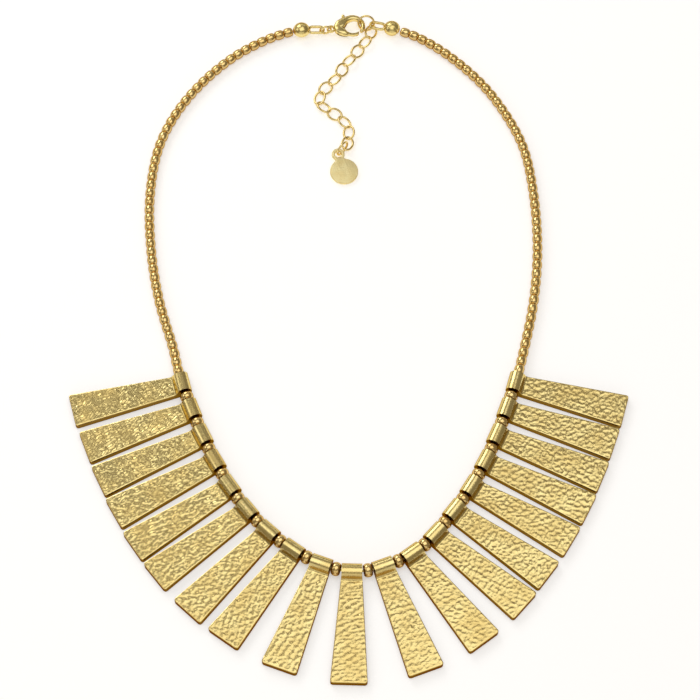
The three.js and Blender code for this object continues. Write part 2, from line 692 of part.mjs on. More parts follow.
// The charm ring stands upright through the tab's hole and the last link.
const tabHole = addDisc();
const charmRingRadius = (CHARM_RING_DIAMETER - RING_WIRE) / 2;
const charmRingHeading = THREE.MathUtils.degToRad(CHARM_RING_HEADING);
const tabDrop = CHARM_RING_DIAMETER / 2 - tabHole.z;
const charmRingRun = Math.sqrt(charmRingRadius ** 2 - tabDrop ** 2);
const charmRingCentre = new THREE.Vector3(
  tabHole.x + charmRingRun * Math.cos(charmRingHeading),
  tabHole.y + charmRingRun * Math.sin(charmRingHeading),
  CHARM_RING_DIAMETER / 2,
);
addRing('charm_ring', CHARM_RING_DIAMETER, charmRingCentre, charmRingHeading, 0);

// The origin goes to the middle of the necklace's underside.
const extent = new THREE.Box3().setFromObject(necklace, true);
const middle = extent.getCenter(new THREE.Vector3());
for (const piece of necklace.children) {
  piece.position.x -= middle.x;
  piece.position.y -= middle.y;
}

export default necklace;
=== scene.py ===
# Bib necklace, laid flat on a pale table with its clasp fastened. Lengths are in metres,
# mostly written as millimetres times mm, in the same frame as the solids.

import math

import bmesh
import bpy
import numpy as np
from mathutils import Matrix, Vector


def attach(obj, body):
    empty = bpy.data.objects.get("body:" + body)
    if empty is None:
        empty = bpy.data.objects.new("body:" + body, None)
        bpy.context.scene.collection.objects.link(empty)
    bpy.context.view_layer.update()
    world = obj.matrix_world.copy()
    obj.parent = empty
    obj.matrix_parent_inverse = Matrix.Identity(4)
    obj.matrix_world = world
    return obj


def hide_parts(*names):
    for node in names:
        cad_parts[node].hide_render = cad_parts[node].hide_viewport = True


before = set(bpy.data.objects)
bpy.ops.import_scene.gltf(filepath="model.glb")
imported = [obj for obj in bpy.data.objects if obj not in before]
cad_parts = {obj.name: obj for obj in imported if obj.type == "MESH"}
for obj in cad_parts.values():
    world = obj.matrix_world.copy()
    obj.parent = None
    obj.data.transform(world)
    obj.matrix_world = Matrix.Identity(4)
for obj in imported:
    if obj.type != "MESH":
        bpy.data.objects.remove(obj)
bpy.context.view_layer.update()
mm = 0.001

# Camera
# It looks down on the necklace from the bib's side, 28 degrees off the vertical, from
# two thirds of a metre away.
frame_middle = Vector((0.354, -7.012, 0)) * mm
camera_tilt = math.radians(28)
camera_reach = 655.6 * mm
half_picture = 350
focal_length_in_pixels = 2384
camera_data = bpy.data.cameras.new("camera")
camera_data.angle = 2 * math.atan(half_picture / focal_length_in_pixels)
camera = bpy.data.objects.new("camera", camera_data)
camera.location = frame_middle + camera_reach * Vector(
    (0, -math.sin(camera_tilt), math.cos(camera_tilt))
)
camera.rotation_euler = (camera_tilt, 0, 0)
bpy.context.scene.collection.objects.link(camera)
bpy.context.scene.camera = camera
bpy.context.scene.view_settings.view_transform = "Standard"

# Bib wire
# One stiff brass wire runs through every tube and spacer of the bib. Its path goes on
# through the bead strings, so all of them are set out along it by length.
string_height = 1.4 * mm
tube_height = 2.1 * mm
wire_radius = 0.3 * mm
path_steps = 100
left_points = [
    (-16.7, 105.95), (-23.7, 103.2), (-33.6, 97.0), (-43.2, 87.4), (-50.4, 76.6),
    (-54.9, 65.1), (-56.8, 49.0), (-55.8, 31.0), (-53.0, 15.0), (-48.6, 0.0),
]
bib_points = [
    (-45.8, -11.0), (-36.2, -34.5), (-27.2, -49.0), (-15.2, -60.3), (0.5, -66.6),
    (16.5, -61.5), (27.9, -48.8), (36.4, -34.4), (44.9, -11.5),
]
right_points = [
    (47.9, 0.0), (51.0, 15.0), (52.6, 31.0), (52.2, 49.0), (49.8, 65.0),
    (45.0, 76.6), (38.2, 87.4), (28.5, 97.5), (20.2, 103.5), (14.7, 106.0),
]


def laid_out(points, height):
    """Points of the table in the necklace's frame, at one height."""
    return [Vector((x, y, 0)) * mm + frame_middle + Vector((0, 0, height)) for x, y in points]


def path_through(points, steps=path_steps):
    """A smooth path through the points: its places and the length run at each of them."""
    ends = [2 * points[0] - points[1], *points, 2 * points[-1] - points[-2]]
    places = []
    for a, b, c, d in zip(ends, ends[1:], ends[2:], ends[3:]):
        ta = 0.0
        tb = ta + (b - a).length ** 0.5
        tc = tb + (c - b).length ** 0.5
        td = tc + (d - c).length ** 0.5
        for i in range(steps):
            t = tb + (tc - tb) * i / steps
            ab = a.lerp(b, (t - ta) / (tb - ta))
            bc = b.lerp(c, (t - tb) / (tc - tb))
            cd = c.lerp(d, (t - tc) / (td - tc))
            abc = ab.lerp(bc, (t - ta) / (tc - ta))
            bcd = bc.lerp(cd, (t - tb) / (td - tb))
            places.append(abc.lerp(bcd, (t - tb) / (tc - tb)))
    places.append(points[-1].copy())
    lengths = [0.0]
    for a, b in zip(places, places[1:]):
        lengths.append(lengths[-1] + (b - a).length)
    return np.array(places), np.array(lengths)


def along(path, distance):
    """The place and the direction at a length along a path."""
    places, lengths = path
    step = 0.05 * mm
    back, place, ahead = (
        Vector([np.interp(run, lengths, places[:, k]) for k in range(3)])
        for run in (distance - step, distance, distance + step)
    )
    return place, (ahead - back).normalized()


necklace_path = path_through(
    laid_out(left_points, string_height)
    + laid_out(bib_points, tube_height)
    + laid_out(right_points, string_height)
)
middle_point = len(left_points) + len(bib_points) // 2
bib_middle = necklace_path[1][middle_point * path_steps]
paddle_count = 19
tube_length = 5.4 * mm
paddle_pitch = 8.4 * mm
bib_half = ((paddle_count - 1) * paddle_pitch + tube_length) / 2


def gold_tone(name, gold, shade, patch, roughness, roughness_spread, edge=(0.45, 0.27, 0.09)):
    """A metal whose tone and polish drift from place to place, with a tone for its edges."""
    material = bpy.data.materials.new(name)
    material.use_nodes = True
    nodes, links = material.node_tree.nodes, material.node_tree.links
    shader = nodes["Principled BSDF"]
    shader.inputs["Metallic"].default_value = 1
    shader.inputs["Specular Tint"].default_value = (*edge, 1)
    place = nodes.new("ShaderNodeTexCoord")
    tone = nodes.new("ShaderNodeGroup")
    tone.node_tree = tone_group
    tone.inputs["Gold"].default_value = (*gold, 1)
    tone.inputs["Shade"].default_value = (*shade, 1)
    tone.inputs["Patch Size"].default_value = patch
    tone.inputs["Roughness"].default_value = roughness
    tone.inputs["Roughness Spread"].default_value = roughness_spread
    links.new(place.outputs["Object"], tone.inputs["Place"])
    links.new(tone.outputs["Colour"], shader.inputs["Base Color"])
    links.new(tone.outputs["Roughness"], shader.inputs["Roughness"])
    return material


tone_group = bpy.data.node_groups.new("Plating tone", "ShaderNodeTree")
for socket, kind in (
    ("Place", "NodeSocketVector"), ("Gold", "NodeSocketColor"), ("Shade", "NodeSocketColor"),
    ("Patch Size", "NodeSocketFloat"), ("Roughness", "NodeSocketFloat"),
    ("Roughness Spread", "NodeSocketFloat"),
):
    tone_group.interface.new_socket(socket, in_out="INPUT", socket_type=kind)
tone_group.interface.new_socket("Colour", in_out="OUTPUT", socket_type="NodeSocketColor")
tone_group.interface.new_socket("Roughness", in_out="OUTPUT", socket_type="NodeSocketFloat")
tone_in = tone_group.nodes.new("NodeGroupInput")
tone_out = tone_group.nodes.new("NodeGroupOutput")
tone_frequency = tone_group.nodes.new("ShaderNodeMath")
tone_frequency.operation = "DIVIDE"
tone_frequency.inputs[0].default_value = 1
tone_patches = tone_group.nodes.new("ShaderNodeTexNoise")
tone_patches.inputs["Detail"].default_value = 4
tone_reach = tone_group.nodes.new("ShaderNodeMapRange")
tone_reach.inputs["From Min"].default_value = 0.35
tone_reach.inputs["From Max"].default_value = 0.7
tone_mix = tone_group.nodes.new("ShaderNodeMix")
tone_mix.data_type = "RGBA"
tone_polish = tone_group.nodes.new("ShaderNodeMath")
tone_polish.operation = "MULTIPLY_ADD"
tone_links = tone_group.links
tone_links.new(tone_in.outputs["Patch Size"], tone_frequency.inputs[1])
tone_links.new(tone_in.outputs["Place"], tone_patches.inputs["Vector"])
tone_links.new(tone_frequency.outputs[0], tone_patches.inputs["Scale"])
tone_links.new(tone_patches.outputs[0], tone_reach.inputs["Value"])
tone_links.new(tone_reach.outputs[0], tone_mix.inputs["Factor"])
tone_links.new(tone_in.outputs["Gold"], tone_mix.inputs["A"])
tone_links.new(tone_in.outputs["Shade"], tone_mix.inputs["B"])
tone_links.new(tone_mix.outputs["Result"], tone_out.inputs["Colour"])
tone_links.new(tone_reach.outputs[0], tone_polish.inputs[0])
tone_links.new(tone_in.outputs["Roughness Spread"], tone_polish.inputs[1])
tone_links.new(tone_in.outputs["Roughness"], tone_polish.inputs[2])
tone_links.new(tone_polish.outputs[0], tone_out.inputs["Roughness"])

wire_gold = gold_tone("wire gold", (0.62, 0.46, 0.16), (0.45, 0.30, 0.10), 2 * mm, 0.3, 0.15)


def geometry_tree(name, sockets):
    """An empty geometry tree with named inputs, and its two ends."""
    tree = bpy.data.node_groups.new(name, "GeometryNodeTree")
    tree.interface.new_socket("Geometry", in_out="INPUT", socket_type="NodeSocketGeometry")
    for socket, kind in sockets:
        tree.interface.new_socket(socket, in_out="INPUT", socket_type=kind)
    tree.interface.new_socket("Geometry", in_out="OUTPUT", socket_type="NodeSocketGeometry")
    return tree, tree.nodes.new("NodeGroupInput"), tree.nodes.new("NodeGroupOutput")


def made_by(tree, source, name, values):
    """The plain mesh that a geometry tree makes from a source mesh."""
    start = bpy.data.objects.new(name + "_start", source)
    bpy.context.scene.collection.objects.link(start)
    modifier = start.modifiers.new(tree.name, "NODES")
    modifier.node_group = tree
    for item in tree.interface.items_tree:
        if item.in_out == "INPUT" and item.name in values:
            modifier[item.identifier] = values[item.name]
    bpy.context.view_layer.update()
    graph = bpy.context.evaluated_depsgraph_get()
    mesh = bpy.data.meshes.new_from_object(start.evaluated_get(graph))
    start.modifiers.clear()
    bpy.data.objects.remove(start)
    piece = bpy.data.objects.new(name, mesh)
    bpy.context.scene.collection.objects.link(piece)
    return piece


def stations_mesh(name, stations, closed=False):
    """A line of points that carries the skin's radius at each of them."""
    mesh = bpy.data.meshes.new(name)
    count = len(stations)
    edges = [(i, i + 1) for i in range(count - 1)]
    if closed:
        edges.append((count - 1, 0))
    mesh.from_pydata([place for place, _ in stations], edges, [])
    radius = mesh.attributes.new("skin_radius", "FLOAT", "POINT")
    radius.data.foreach_set("value", [value for _, value in stations])
    return mesh


skin_tree, skin_in, skin_out = geometry_tree(
    "Skin round a path", [("Sides", "NodeSocketInt"), ("Finish", "NodeSocketMaterial")]
)
skin_curve = skin_tree.nodes.new("GeometryNodeMeshToCurve")
skin_stored = skin_tree.nodes.new("GeometryNodeInputNamedAttribute")
skin_stored.data_type = "FLOAT"
skin_stored.inputs["Name"].default_value = "skin_radius"
skin_round = skin_tree.nodes.new("GeometryNodeCurvePrimitiveCircle")
skin_round.inputs["Radius"].default_value = 1
skin_mesh = skin_tree.nodes.new("GeometryNodeCurveToMesh")
skin_mesh.inputs["Fill Caps"].default_value = True
skin_real = skin_tree.nodes.new("GeometryNodeRealizeInstances")
skin_finish = skin_tree.nodes.new("GeometryNodeSetMaterial")
skin_links = skin_tree.links
skin_links.new(skin_in.outputs["Geometry"], skin_curve.inputs[0])
skin_links.new(skin_curve.outputs[0], skin_mesh.inputs["Curve"])
skin_links.new(skin_stored.outputs["Attribute"], skin_mesh.inputs["Scale"])
skin_links.new(skin_in.outputs["Sides"], skin_round.inputs["Resolution"])
skin_links.new(skin_round.outputs[0], skin_mesh.inputs["Profile Curve"])
skin_links.new(skin_mesh.outputs[0], skin_real.inputs[0])
skin_links.new(skin_real.outputs[0], skin_finish.inputs["Geometry"])
skin_links.new(skin_in.outputs["Finish"], skin_finish.inputs["Material"])
skin_links.new(skin_finish.outputs[0], skin_out.inputs[0])


def rounded(piece, sharp=40):
    """Shades a piece smooth, apart from edges that turn more than the given degrees."""
    piece.data.shade_smooth()
    piece.data.set_sharp_from_angle(angle=math.radians(sharp))
    return piece


wire_stations = []
for i in range(6 * paddle_count + 1):
    run = bib_middle + bib_half * (i / (3 * paddle_count) - 1)
    place, _ = along(necklace_path, run)
    place.z = tube_height
    wire_stations.append((place, wire_radius))
bib_wire = made_by(
    skin_tree, stations_mesh("bib_wire", wire_stations), "bib_wire_drawn",
    {"Sides": 10, "Finish": wire_gold},
)
rounded(bib_wire)
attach(bib_wire, "necklace")
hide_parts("bib_wire")

# Paddles
# Each paddle is cast brass with light gold plating: a flat plate that flares towards its
# end, with a hammered front, plain satin sides and a tube on its narrow end.
paddle_reach = 30.6 * mm
plate_thickness = 2.0 * mm
plate_top_half = 2.85 * mm
plate_end_half = 4.85 * mm
plate_corner = 0.7 * mm
tube_radius = 2.1 * mm
tube_half = tube_length / 2
tube_wrap = 245
bore_radius = 1.0 * mm
bore_sides = 24
neck_start = 0.8 * tube_radius
neck_end = tube_radius + 0.4 * mm
slope_end = 2.75 * mm
straight_slope = 0.3
worn_end = [(0.3, 0.0), (0.1, 0.05), (0.0, 0.25)]
worn_side = [0.25, 0.06, 0.0]
plain_rim = 0.1 * mm
rim_fade = 0.35 * mm
hammered_from = 2.3 * mm
hammered_fade = 0.4 * mm
first_pattern = 40
paddle_leans = [
    -3.3, 0.3, 2.5, 2.6, 3.1, -1.1, 1, -3.6, 3.2, 0.6, 2.3, 4.6, -1.1, -0.8, -0.2, -1.3,
    -2.2, -0.6, 1.5,
]


def paddle_half_width(x):
    """Half the paddle's width at a distance from the tube's middle."""
    if x <= neck_start:
        return tube_half
    if x <= neck_end:
        share = (x - neck_start) / (neck_end - neck_start)
        return tube_half + (plate_top_half - tube_half) * share
    share = (x - tube_radius) / (paddle_reach - tube_radius)
    half = plate_top_half + (plate_end_half - plate_top_half) * share
    into = x - (paddle_reach - plate_corner)
    if into > 0:
        half -= plate_corner - math.sqrt(max(plate_corner ** 2 - into ** 2, 0))
    return half


def paddle_outline():
    """The side view from under the tube, up its back, over its crown and out to the end."""
    points = []
    for i in range(29):
        angle = math.radians(-90 - tube_wrap * i / 28)
        points.append((tube_radius * math.cos(angle), tube_radius * (1 + math.sin(angle))))
    crown_end, crown_height = points[-1]
    slope = math.radians(270 - tube_wrap)
    foot = crown_end + (crown_height - plate_thickness) * math.tan(slope)
    for i in range(1, 6):
        share = straight_slope * i / 5
        points.append((
            crown_end + (foot - crown_end) * share,
            crown_height + (plate_thickness - crown_height) * share,
        ))
    bend_start, bend_height = points[-1]
    for i in range(1, 6):
        share = i / 5
        rest = 1 - share
        points.append((
            rest * rest * bend_start + 2 * rest * share * foot + share * share * slope_end,
            rest * rest * bend_height + (1 - rest * rest) * plate_thickness,
        ))
    rows = 160
    last = paddle_reach - worn_end[0][0] * mm
    for i in range(1, rows):
        points.append((slope_end + (last - slope_end) * i / rows, plate_thickness))
    points += [(paddle_reach - back * mm, plate_thickness - drop * mm) for back, drop in worn_end]
    return points


def hammered(random, x, y):
    """Height of the hammered front: shallow pits over a wavy ground."""
    pitch_x, pitch_y = 0.9 * mm, 1.0 * mm
    pit_depth = 0.033 * mm
    pit_spread = 0.62
    pit_brim, pit_edge = 1.5, 0.8
    wave_count = 48
    wave_rise = 0.0036
    marks = []
    for row in range(int(paddle_reach / pitch_x) + 2):
        for column in range(-5, 6):
            shift = 0.5 * (row % 2)
            marks.append((
                (row + random.uniform(-0.5, 0.5)) * pitch_x,
                (column + shift + random.uniform(-0.5, 0.5)) * pitch_y,
                random.uniform(0.7, 1.3),
                random.uniform(0.3, 1.4),
                random.uniform(-0.6, 0.6),
            ))
    marks = np.array(marks)
    dx = (x[:, None] - marks[None, :, 0]) / (pit_spread * pitch_x)
    dy = (y[:, None] - marks[None, :, 1]) / (pit_spread * pitch_y)
    dx = dx + marks[None, :, 4] * dy
    far = (dx ** 2 + dy ** 2) / marks[None, :, 2] ** 2
    nearest = np.argmin(far, axis=1)
    near = far[np.arange(len(far)), nearest]
    pits = pit_depth * marks[nearest, 3] * (np.minimum(near, pit_brim) - pit_edge)
    ground = np.zeros(len(x))
    for _ in range(wave_count):
        angle = random.uniform(0, math.pi)
        length = random.uniform(0.6, 1.9) * mm
        phase = 2 * math.pi * (x * math.cos(angle) + y * math.sin(angle)) / length
        ground += wave_rise * length * np.sin(phase + random.uniform(0, 2 * math.pi))
    return pits + ground


def paddle_mesh(name, random):
    """One paddle about its tube's middle, pointing along X, with its back on the table."""
    outline = paddle_outline()
    shares = [-1, -0.985, -0.95] + [-0.91 + 1.82 * k / 40 for k in range(41)] + [0.95, 0.985, 1]
    columns = len(shares)
    grid = np.zeros((len(outline), columns, 3))
    for i, (x, z) in enumerate(outline):
        grid[i, :, 0] = x
        grid[i, :, 1] = np.array(shares) * paddle_half_width(x)
        grid[i, :, 2] = z
    x, y, z = (grid[:, :, k].ravel().copy() for k in range(3))
    half = np.array([paddle_half_width(value) for value in x])
    rim = np.minimum(half - np.abs(y), paddle_reach - x)
    fade = np.clip((rim - plain_rim) / rim_fade, 0, 1)
    fade *= np.clip((x - hammered_from) / hammered_fade, 0, 1)
    z += fade * hammered(random, x, y)
    for k, drop in enumerate(worn_side):
        for column in (k, columns - 1 - k):
            at = np.arange(len(outline)) * columns + column
            z[at] -= np.where(x[at] > slope_end, drop * mm, 0)
    verts = np.stack([x, y, z], 1)
    mesh = bmesh.new()
    points = [mesh.verts.new(v) for v in verts]
    rows = len(outline)
    for i in range(rows - 1):
        for k in range(columns - 1):
            a = i * columns + k
            mesh.faces.new((
                points[a], points[a + 1], points[a + columns + 1], points[a + columns]))
    end = [points[(rows - 1) * columns + k] for k in range(columns)]
    foot = [
        mesh.verts.new((paddle_reach, side * (plate_end_half - plate_corner), 0))
        for side in (-1, 1)
    ]
    flare = [
        [mesh.verts.new((at, side * paddle_half_width(at), 0)) for side in (-1, 1)]
        for at in (neck_end, paddle_reach - plate_corner, paddle_reach - plate_corner / 3)
    ]
    mesh.faces.new([end[0], *end[1:], foot[1], foot[0]])
    start = points[:columns]
    left, right = zip(*flare)
    mesh.faces.new([*reversed(start), *left, foot[0], foot[1], *reversed(right)])
    for side, column, edge in ((-1, 0, left), (1, columns - 1, right)):
        rim_points = [points[i * columns + column] for i in range(rows)]
        corner = foot[0] if side < 0 else foot[1]
        bore = []
        for i in range(bore_sides):
            angle = 2 * math.pi * i / bore_sides
            bore.append(mesh.verts.new((
                bore_radius * math.cos(angle), side * tube_half,
                tube_radius + bore_radius * math.sin(angle))))
        outer = [*rim_points, corner, *reversed(edge)]
        loop_edges = []
        for loop in (outer, bore):
            for a, b in zip(loop, loop[1:] + loop[:1]):
                loop_edges.append(mesh.edges.get((a, b)) or mesh.edges.new((a, b)))
        bmesh.ops.triangle_fill(
            mesh, use_beauty=True, use_dissolve=False, edges=loop_edges, normal=(0, side, 0))
        if side < 0:
            first_bore = bore
    for i in range(bore_sides):
        j = (i + 1) % bore_sides
        mesh.faces.new((first_bore[i], first_bore[j], bore[j], bore[i]))
    bmesh.ops.recalc_face_normals(mesh, faces=mesh.faces)
    data = bpy.data.meshes.new(name)
    mesh.to_mesh(data)
    mesh.free()
    # The low attribute carries painted shade. It rises from the top face down to the table, so
    # the rims, sides, bottom, bore and dent hollows are shaded in the colour.
    low = data.attributes.new("low", "FLOAT", "POINT")
    values = np.ones(len(data.vertices))
    values[: len(z)] = np.clip(1 - z / plate_thickness, 0, 1)
    low.data.foreach_set("value", values)
    return data


def fine_grain(material, grain, detail, strength, depth):
    """Roughens a metal's surface with a grain of the given size and depth."""
    nodes, links = material.node_tree.nodes, material.node_tree.links
    place = nodes.new("ShaderNodeTexCoord")
    noise = nodes.new("ShaderNodeTexNoise")
    noise.inputs["Scale"].default_value = 1 / grain
    noise.inputs["Detail"].default_value = detail
    bump = nodes.new("ShaderNodeBump")
    bump.inputs["Strength"].default_value = strength
    bump.inputs["Distance"].default_value = depth
    links.new(place.outputs["Object"], noise.inputs["Vector"])
    links.new(noise.outputs[0], bump.inputs["Height"])
    links.new(bump.outputs[0], nodes["Principled BSDF"].inputs["Normal"])


def paint_shade_where_low(material, tone, full):
    """Paints shade into a metal's colour where its low attribute rises from none to the full
    value.
    """
    nodes, links = material.node_tree.nodes, material.node_tree.links
    low = nodes.new("ShaderNodeAttribute")
    low.attribute_name = "low"
    reach = nodes.new("ShaderNodeMapRange")
    reach.inputs["From Max"].default_value = full
    mix = nodes.new("ShaderNodeMix")
    mix.data_type = "RGBA"
    mix.inputs["B"].default_value = (*tone, 1)
    colour = nodes["Principled BSDF"].inputs["Base Color"]
    links.new(low.outputs["Fac"], reach.inputs["Value"])
    links.new(reach.outputs[0], mix.inputs["Factor"])
    links.new(colour.links[0].from_socket, mix.inputs["A"])
    links.new(mix.outputs["Result"], colour)


satin_gold = gold_tone(
    "satin gold", (0.93, 0.77, 0.34), (0.86, 0.66, 0.25), 5 * mm, 0.21, 0.08)
fine_grain(satin_gold, 0.4 * mm, 5, 0.55, 0.05 * mm)
# Painted shade: the paddles turn dark brown wherever they drop below their top face.
paint_shade_where_low(satin_gold, (0.27, 0.16, 0.045), 0.15)

for i in range(paddle_count):
    node = f"paddle_{i + 1:02d}"
    mesh = paddle_mesh(node + "_cast", np.random.default_rng(first_pattern + i))
    place, direction = along(
        necklace_path, bib_middle + (i - (paddle_count - 1) / 2) * paddle_pitch)
    heading = math.atan2(-direction.x, direction.y) + math.radians(paddle_leans[i])
    turn = np.array([
        [math.cos(heading), -math.sin(heading), 0],
        [math.sin(heading), math.cos(heading), 0],
        [0, 0, 1],
    ])
    spots = np.empty(len(mesh.vertices) * 3)
    mesh.vertices.foreach_get("co", spots)
    spots = spots.reshape(-1, 3) @ turn.T + np.array([place.x, place.y, 0])
    mesh.vertices.foreach_set("co", spots.ravel())
    mesh.update()
    mesh.materials.append(satin_gold)
    paddle = bpy.data.objects.new(node + "_cast", mesh)
    bpy.context.scene.collection.objects.link(paddle)
    rounded(paddle, 35)
    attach(paddle, "necklace")
    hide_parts(node)

# Spacer beads
# A turned brass bead with rounded sides sits on the wire between each pair of tubes.
# It is polished, with plating a little warmer than the paddles'.
spacer_radius = 1.85 * mm
spacer_half = 1.15 * mm
spacer_bore = 0.8 * mm
spacer_shoulder = 1.12 * spacer_half
spacer_fullness = 2.2


def turned(name, profile, sides):
    """A closed ring of faces, turned about the X axis from a list of (x, radius)."""
    verts, faces = [], []
    count = len(profile)
    for k in range(sides):
        angle = 2 * math.pi * k / sides
        for x, radius in profile:
            verts.append((x, radius * math.cos(angle), radius * math.sin(angle)))
    for k in range(sides):
        a, b = k * count, (k + 1) % sides * count
        for i in range(count):
            j = (i + 1) % count
            faces.append((a + i, a + j, b + j, b + i))
    mesh = bpy.data.meshes.new(name)
    mesh.from_pydata(verts, [], faces)
    return mesh


spacer_profile = [(-spacer_half, spacer_bore), (spacer_half, spacer_bore)]
for i in range(17):
    x = spacer_half * math.cos(math.pi * i / 16)
    swell = (1 - (abs(x) / spacer_shoulder) ** spacer_fullness) ** 0.5
    spacer_profile.append((x, spacer_bore + (spacer_radius - spacer_bore) * swell))

pieces_tree, pieces_in, pieces_out = geometry_tree(
    "Pieces along a path",
    [("Piece", "NodeSocketObject"), ("Fuse", "NodeSocketBool"), ("Finish", "NodeSocketMaterial")],
)
pieces_shape = pieces_tree.nodes.new("GeometryNodeObjectInfo")
pieces_lay = pieces_tree.nodes.new("GeometryNodeInputNamedAttribute")
pieces_lay.data_type = "FLOAT_VECTOR"
pieces_lay.inputs["Name"].default_value = "lay"
pieces_roll = pieces_tree.nodes.new("GeometryNodeInputNamedAttribute")
pieces_roll.data_type = "FLOAT"
pieces_roll.inputs["Name"].default_value = "roll"
pieces_head = pieces_tree.nodes.new("FunctionNodeAlignRotationToVector")
pieces_head.axis = "X"
pieces_axis = pieces_tree.nodes.new("FunctionNodeAxisAngleToRotation")
pieces_axis.inputs["Axis"].default_value = (1, 0, 0)
pieces_turn = pieces_tree.nodes.new("FunctionNodeRotateRotation")
pieces_turn.rotation_space = "LOCAL"
pieces_points = pieces_tree.nodes.new("GeometryNodeInstanceOnPoints")
pieces_real = pieces_tree.nodes.new("GeometryNodeRealizeInstances")
pieces_fused = pieces_tree.nodes.new("GeometryNodeMeshBoolean")
pieces_fused.operation = "UNION"
pieces_fused.solver = "EXACT"
pieces_fused.inputs["Self Intersection"].default_value = True
pieces_pick = pieces_tree.nodes.new("GeometryNodeSwitch")
pieces_pick.input_type = "GEOMETRY"
pieces_finish = pieces_tree.nodes.new("GeometryNodeSetMaterial")
pieces_links = pieces_tree.links
pieces_links.new(pieces_in.outputs["Piece"], pieces_shape.inputs["Object"])
pieces_links.new(pieces_in.outputs["Geometry"], pieces_points.inputs["Points"])
pieces_links.new(pieces_shape.outputs["Geometry"], pieces_points.inputs["Instance"])
pieces_links.new(pieces_lay.outputs["Attribute"], pieces_head.inputs["Vector"])
pieces_links.new(pieces_roll.outputs["Attribute"], pieces_axis.inputs["Angle"])
pieces_links.new(pieces_head.outputs[0], pieces_turn.inputs["Rotation"])
pieces_links.new(pieces_axis.outputs[0], pieces_turn.inputs["Rotate By"])
pieces_links.new(pieces_turn.outputs[0], pieces_points.inputs["Rotation"])
pieces_links.new(pieces_points.outputs[0], pieces_real.inputs[0])
pieces_links.new(pieces_real.outputs[0], pieces_fused.inputs["Mesh 2"])
pieces_links.new(pieces_in.outputs["Fuse"], pieces_pick.inputs["Switch"])
pieces_links.new(pieces_real.outputs[0], pieces_pick.inputs["False"])
pieces_links.new(pieces_fused.outputs[0], pieces_pick.inputs["True"])
pieces_links.new(pieces_pick.outputs[0], pieces_finish.inputs["Geometry"])
pieces_links.new(pieces_in.outputs["Finish"], pieces_finish.inputs["Material"])
pieces_links.new(pieces_finish.outputs[0], pieces_out.inputs[0])


def set_out(name, shape, places, finish, fuse=False):
    """One piece with a copy of a shape at each (place, direction, roll in degrees)."""
    points = bpy.data.meshes.new(name + "_points")
    points.from_pydata([place for place, _, _ in places], [], [])
    lay = points.attributes.new("lay", "FLOAT_VECTOR", "POINT")
    lay.data.foreach_set("vector", np.array([tuple(way) for _, way, _ in places]).ravel())
    roll = points.attributes.new("roll", "FLOAT", "POINT")
    roll.data.foreach_set("value", [math.radians(value) for _, _, value in places])
    pattern = bpy.data.objects.new(name + "_pattern", shape)
    piece = made_by(
        pieces_tree, points, name, {"Piece": pattern, "Fuse": fuse, "Finish": finish})
    bpy.data.objects.remove(pattern)
    return rounded(piece)


bead_gold = gold_tone("bead gold", (0.93, 0.70, 0.30), (0.84, 0.57, 0.20), 3 * mm, 0.16, 0.08)
# Painted shade: the beads' sides, from halfway round their tops down to the table, are darkened
# in the colour.
paint_shade_where_low(bead_gold, (0.55, 0.36, 0.14), 1)


def shaded_sides(piece, axis_height, radius):
    """Marks the sides of round beads with painted shade, darkening from where they turn 45
    degrees off the top down to their axis.
    """
    drop = math.sin(math.radians(45)) * radius
    low = piece.data.attributes.new("low", "FLOAT", "POINT")
    low.data.foreach_set("value", [
        min(max((axis_height + drop - vert.co.z) / drop, 0), 1) for vert in piece.data.vertices
    ])


spacer_places = []
for i in range(1, paddle_count):
    place, direction = along(
        necklace_path, bib_middle + (i - paddle_count / 2) * paddle_pitch)
    place.z = tube_height
    direction.z = 0
    spacer_places.append((place, direction.normalized(), 0))
spacers = set_out(
    "spacer_beads_turned", turned("spacer", spacer_profile, 28), spacer_places, bead_gold)
shaded_sides(spacers, tube_height, spacer_radius)
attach(spacers, "necklace")
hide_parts(*[f"spacer_bead_{i:02d}" for i in range(1, paddle_count)])

# Bead strings
# Small barrel-shaped brass beads are threaded tightly from the bib up to the bead tips.
# They are polished and plated, and the thread hardly shows between them.
bead_radius = 1.4 * mm
bead_pitch = 2.8 * mm
bead_fullness = 2.6
bead_stations = [0.0, 0.035, 0.09, 0.18, 0.32, 0.5, 0.68, 0.82, 0.91, 0.965]
thread_radius = 0.68 * mm
string_gap = 0.3 * mm
for side, start, stop in (
    ("left", string_gap, bib_middle - bib_half - string_gap),
    ("right", bib_middle + bib_half + string_gap, necklace_path[1][-1] - string_gap),
):
    count = round((stop - start) / bead_pitch)
    pitch = (stop - start) / count
    stations = []
    for i in range(count):
        for share in bead_stations:
            off = abs(2 * share - 1)
            swell = (1 - off ** bead_fullness) ** 0.5
            radius = thread_radius + (bead_radius - thread_radius) * swell
            place, _ = along(necklace_path, start + (i + share) * pitch)
            stations.append((place, radius))
    stations.append((along(necklace_path, stop)[0], thread_radius))
    beads = made_by(
        skin_tree, stations_mesh("beads", stations), f"bead_string_{side}_threaded",
        {"Sides": 18, "Finish": bead_gold},
    )
    rounded(beads, 60)
    shaded_sides(beads, string_height, bead_radius)
    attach(beads, "necklace")
    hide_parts(f"bead_string_{side}")

# Bead tips
# Each string ends in a pressed brass shell, closed over its last knot, with a long wire
# loop on it. The left one shows its round back and the right one its seam.
tip_length = 4.8 * mm
tip_width = 4.6 * mm
tip_height = 4.0 * mm
tip_rim, rim_place, rim_width = 0.08, -0.1, 0.12
tip_seam, seam_place, seam_slant, seam_width = 0.13, 0.35, 0.2, 0.09
loop_length = 5.2 * mm
loop_width = 3.0 * mm
loop_wire = 0.85 * mm
loop_seat = 0.7 * mm
fusing_voxel = 0.10 * mm

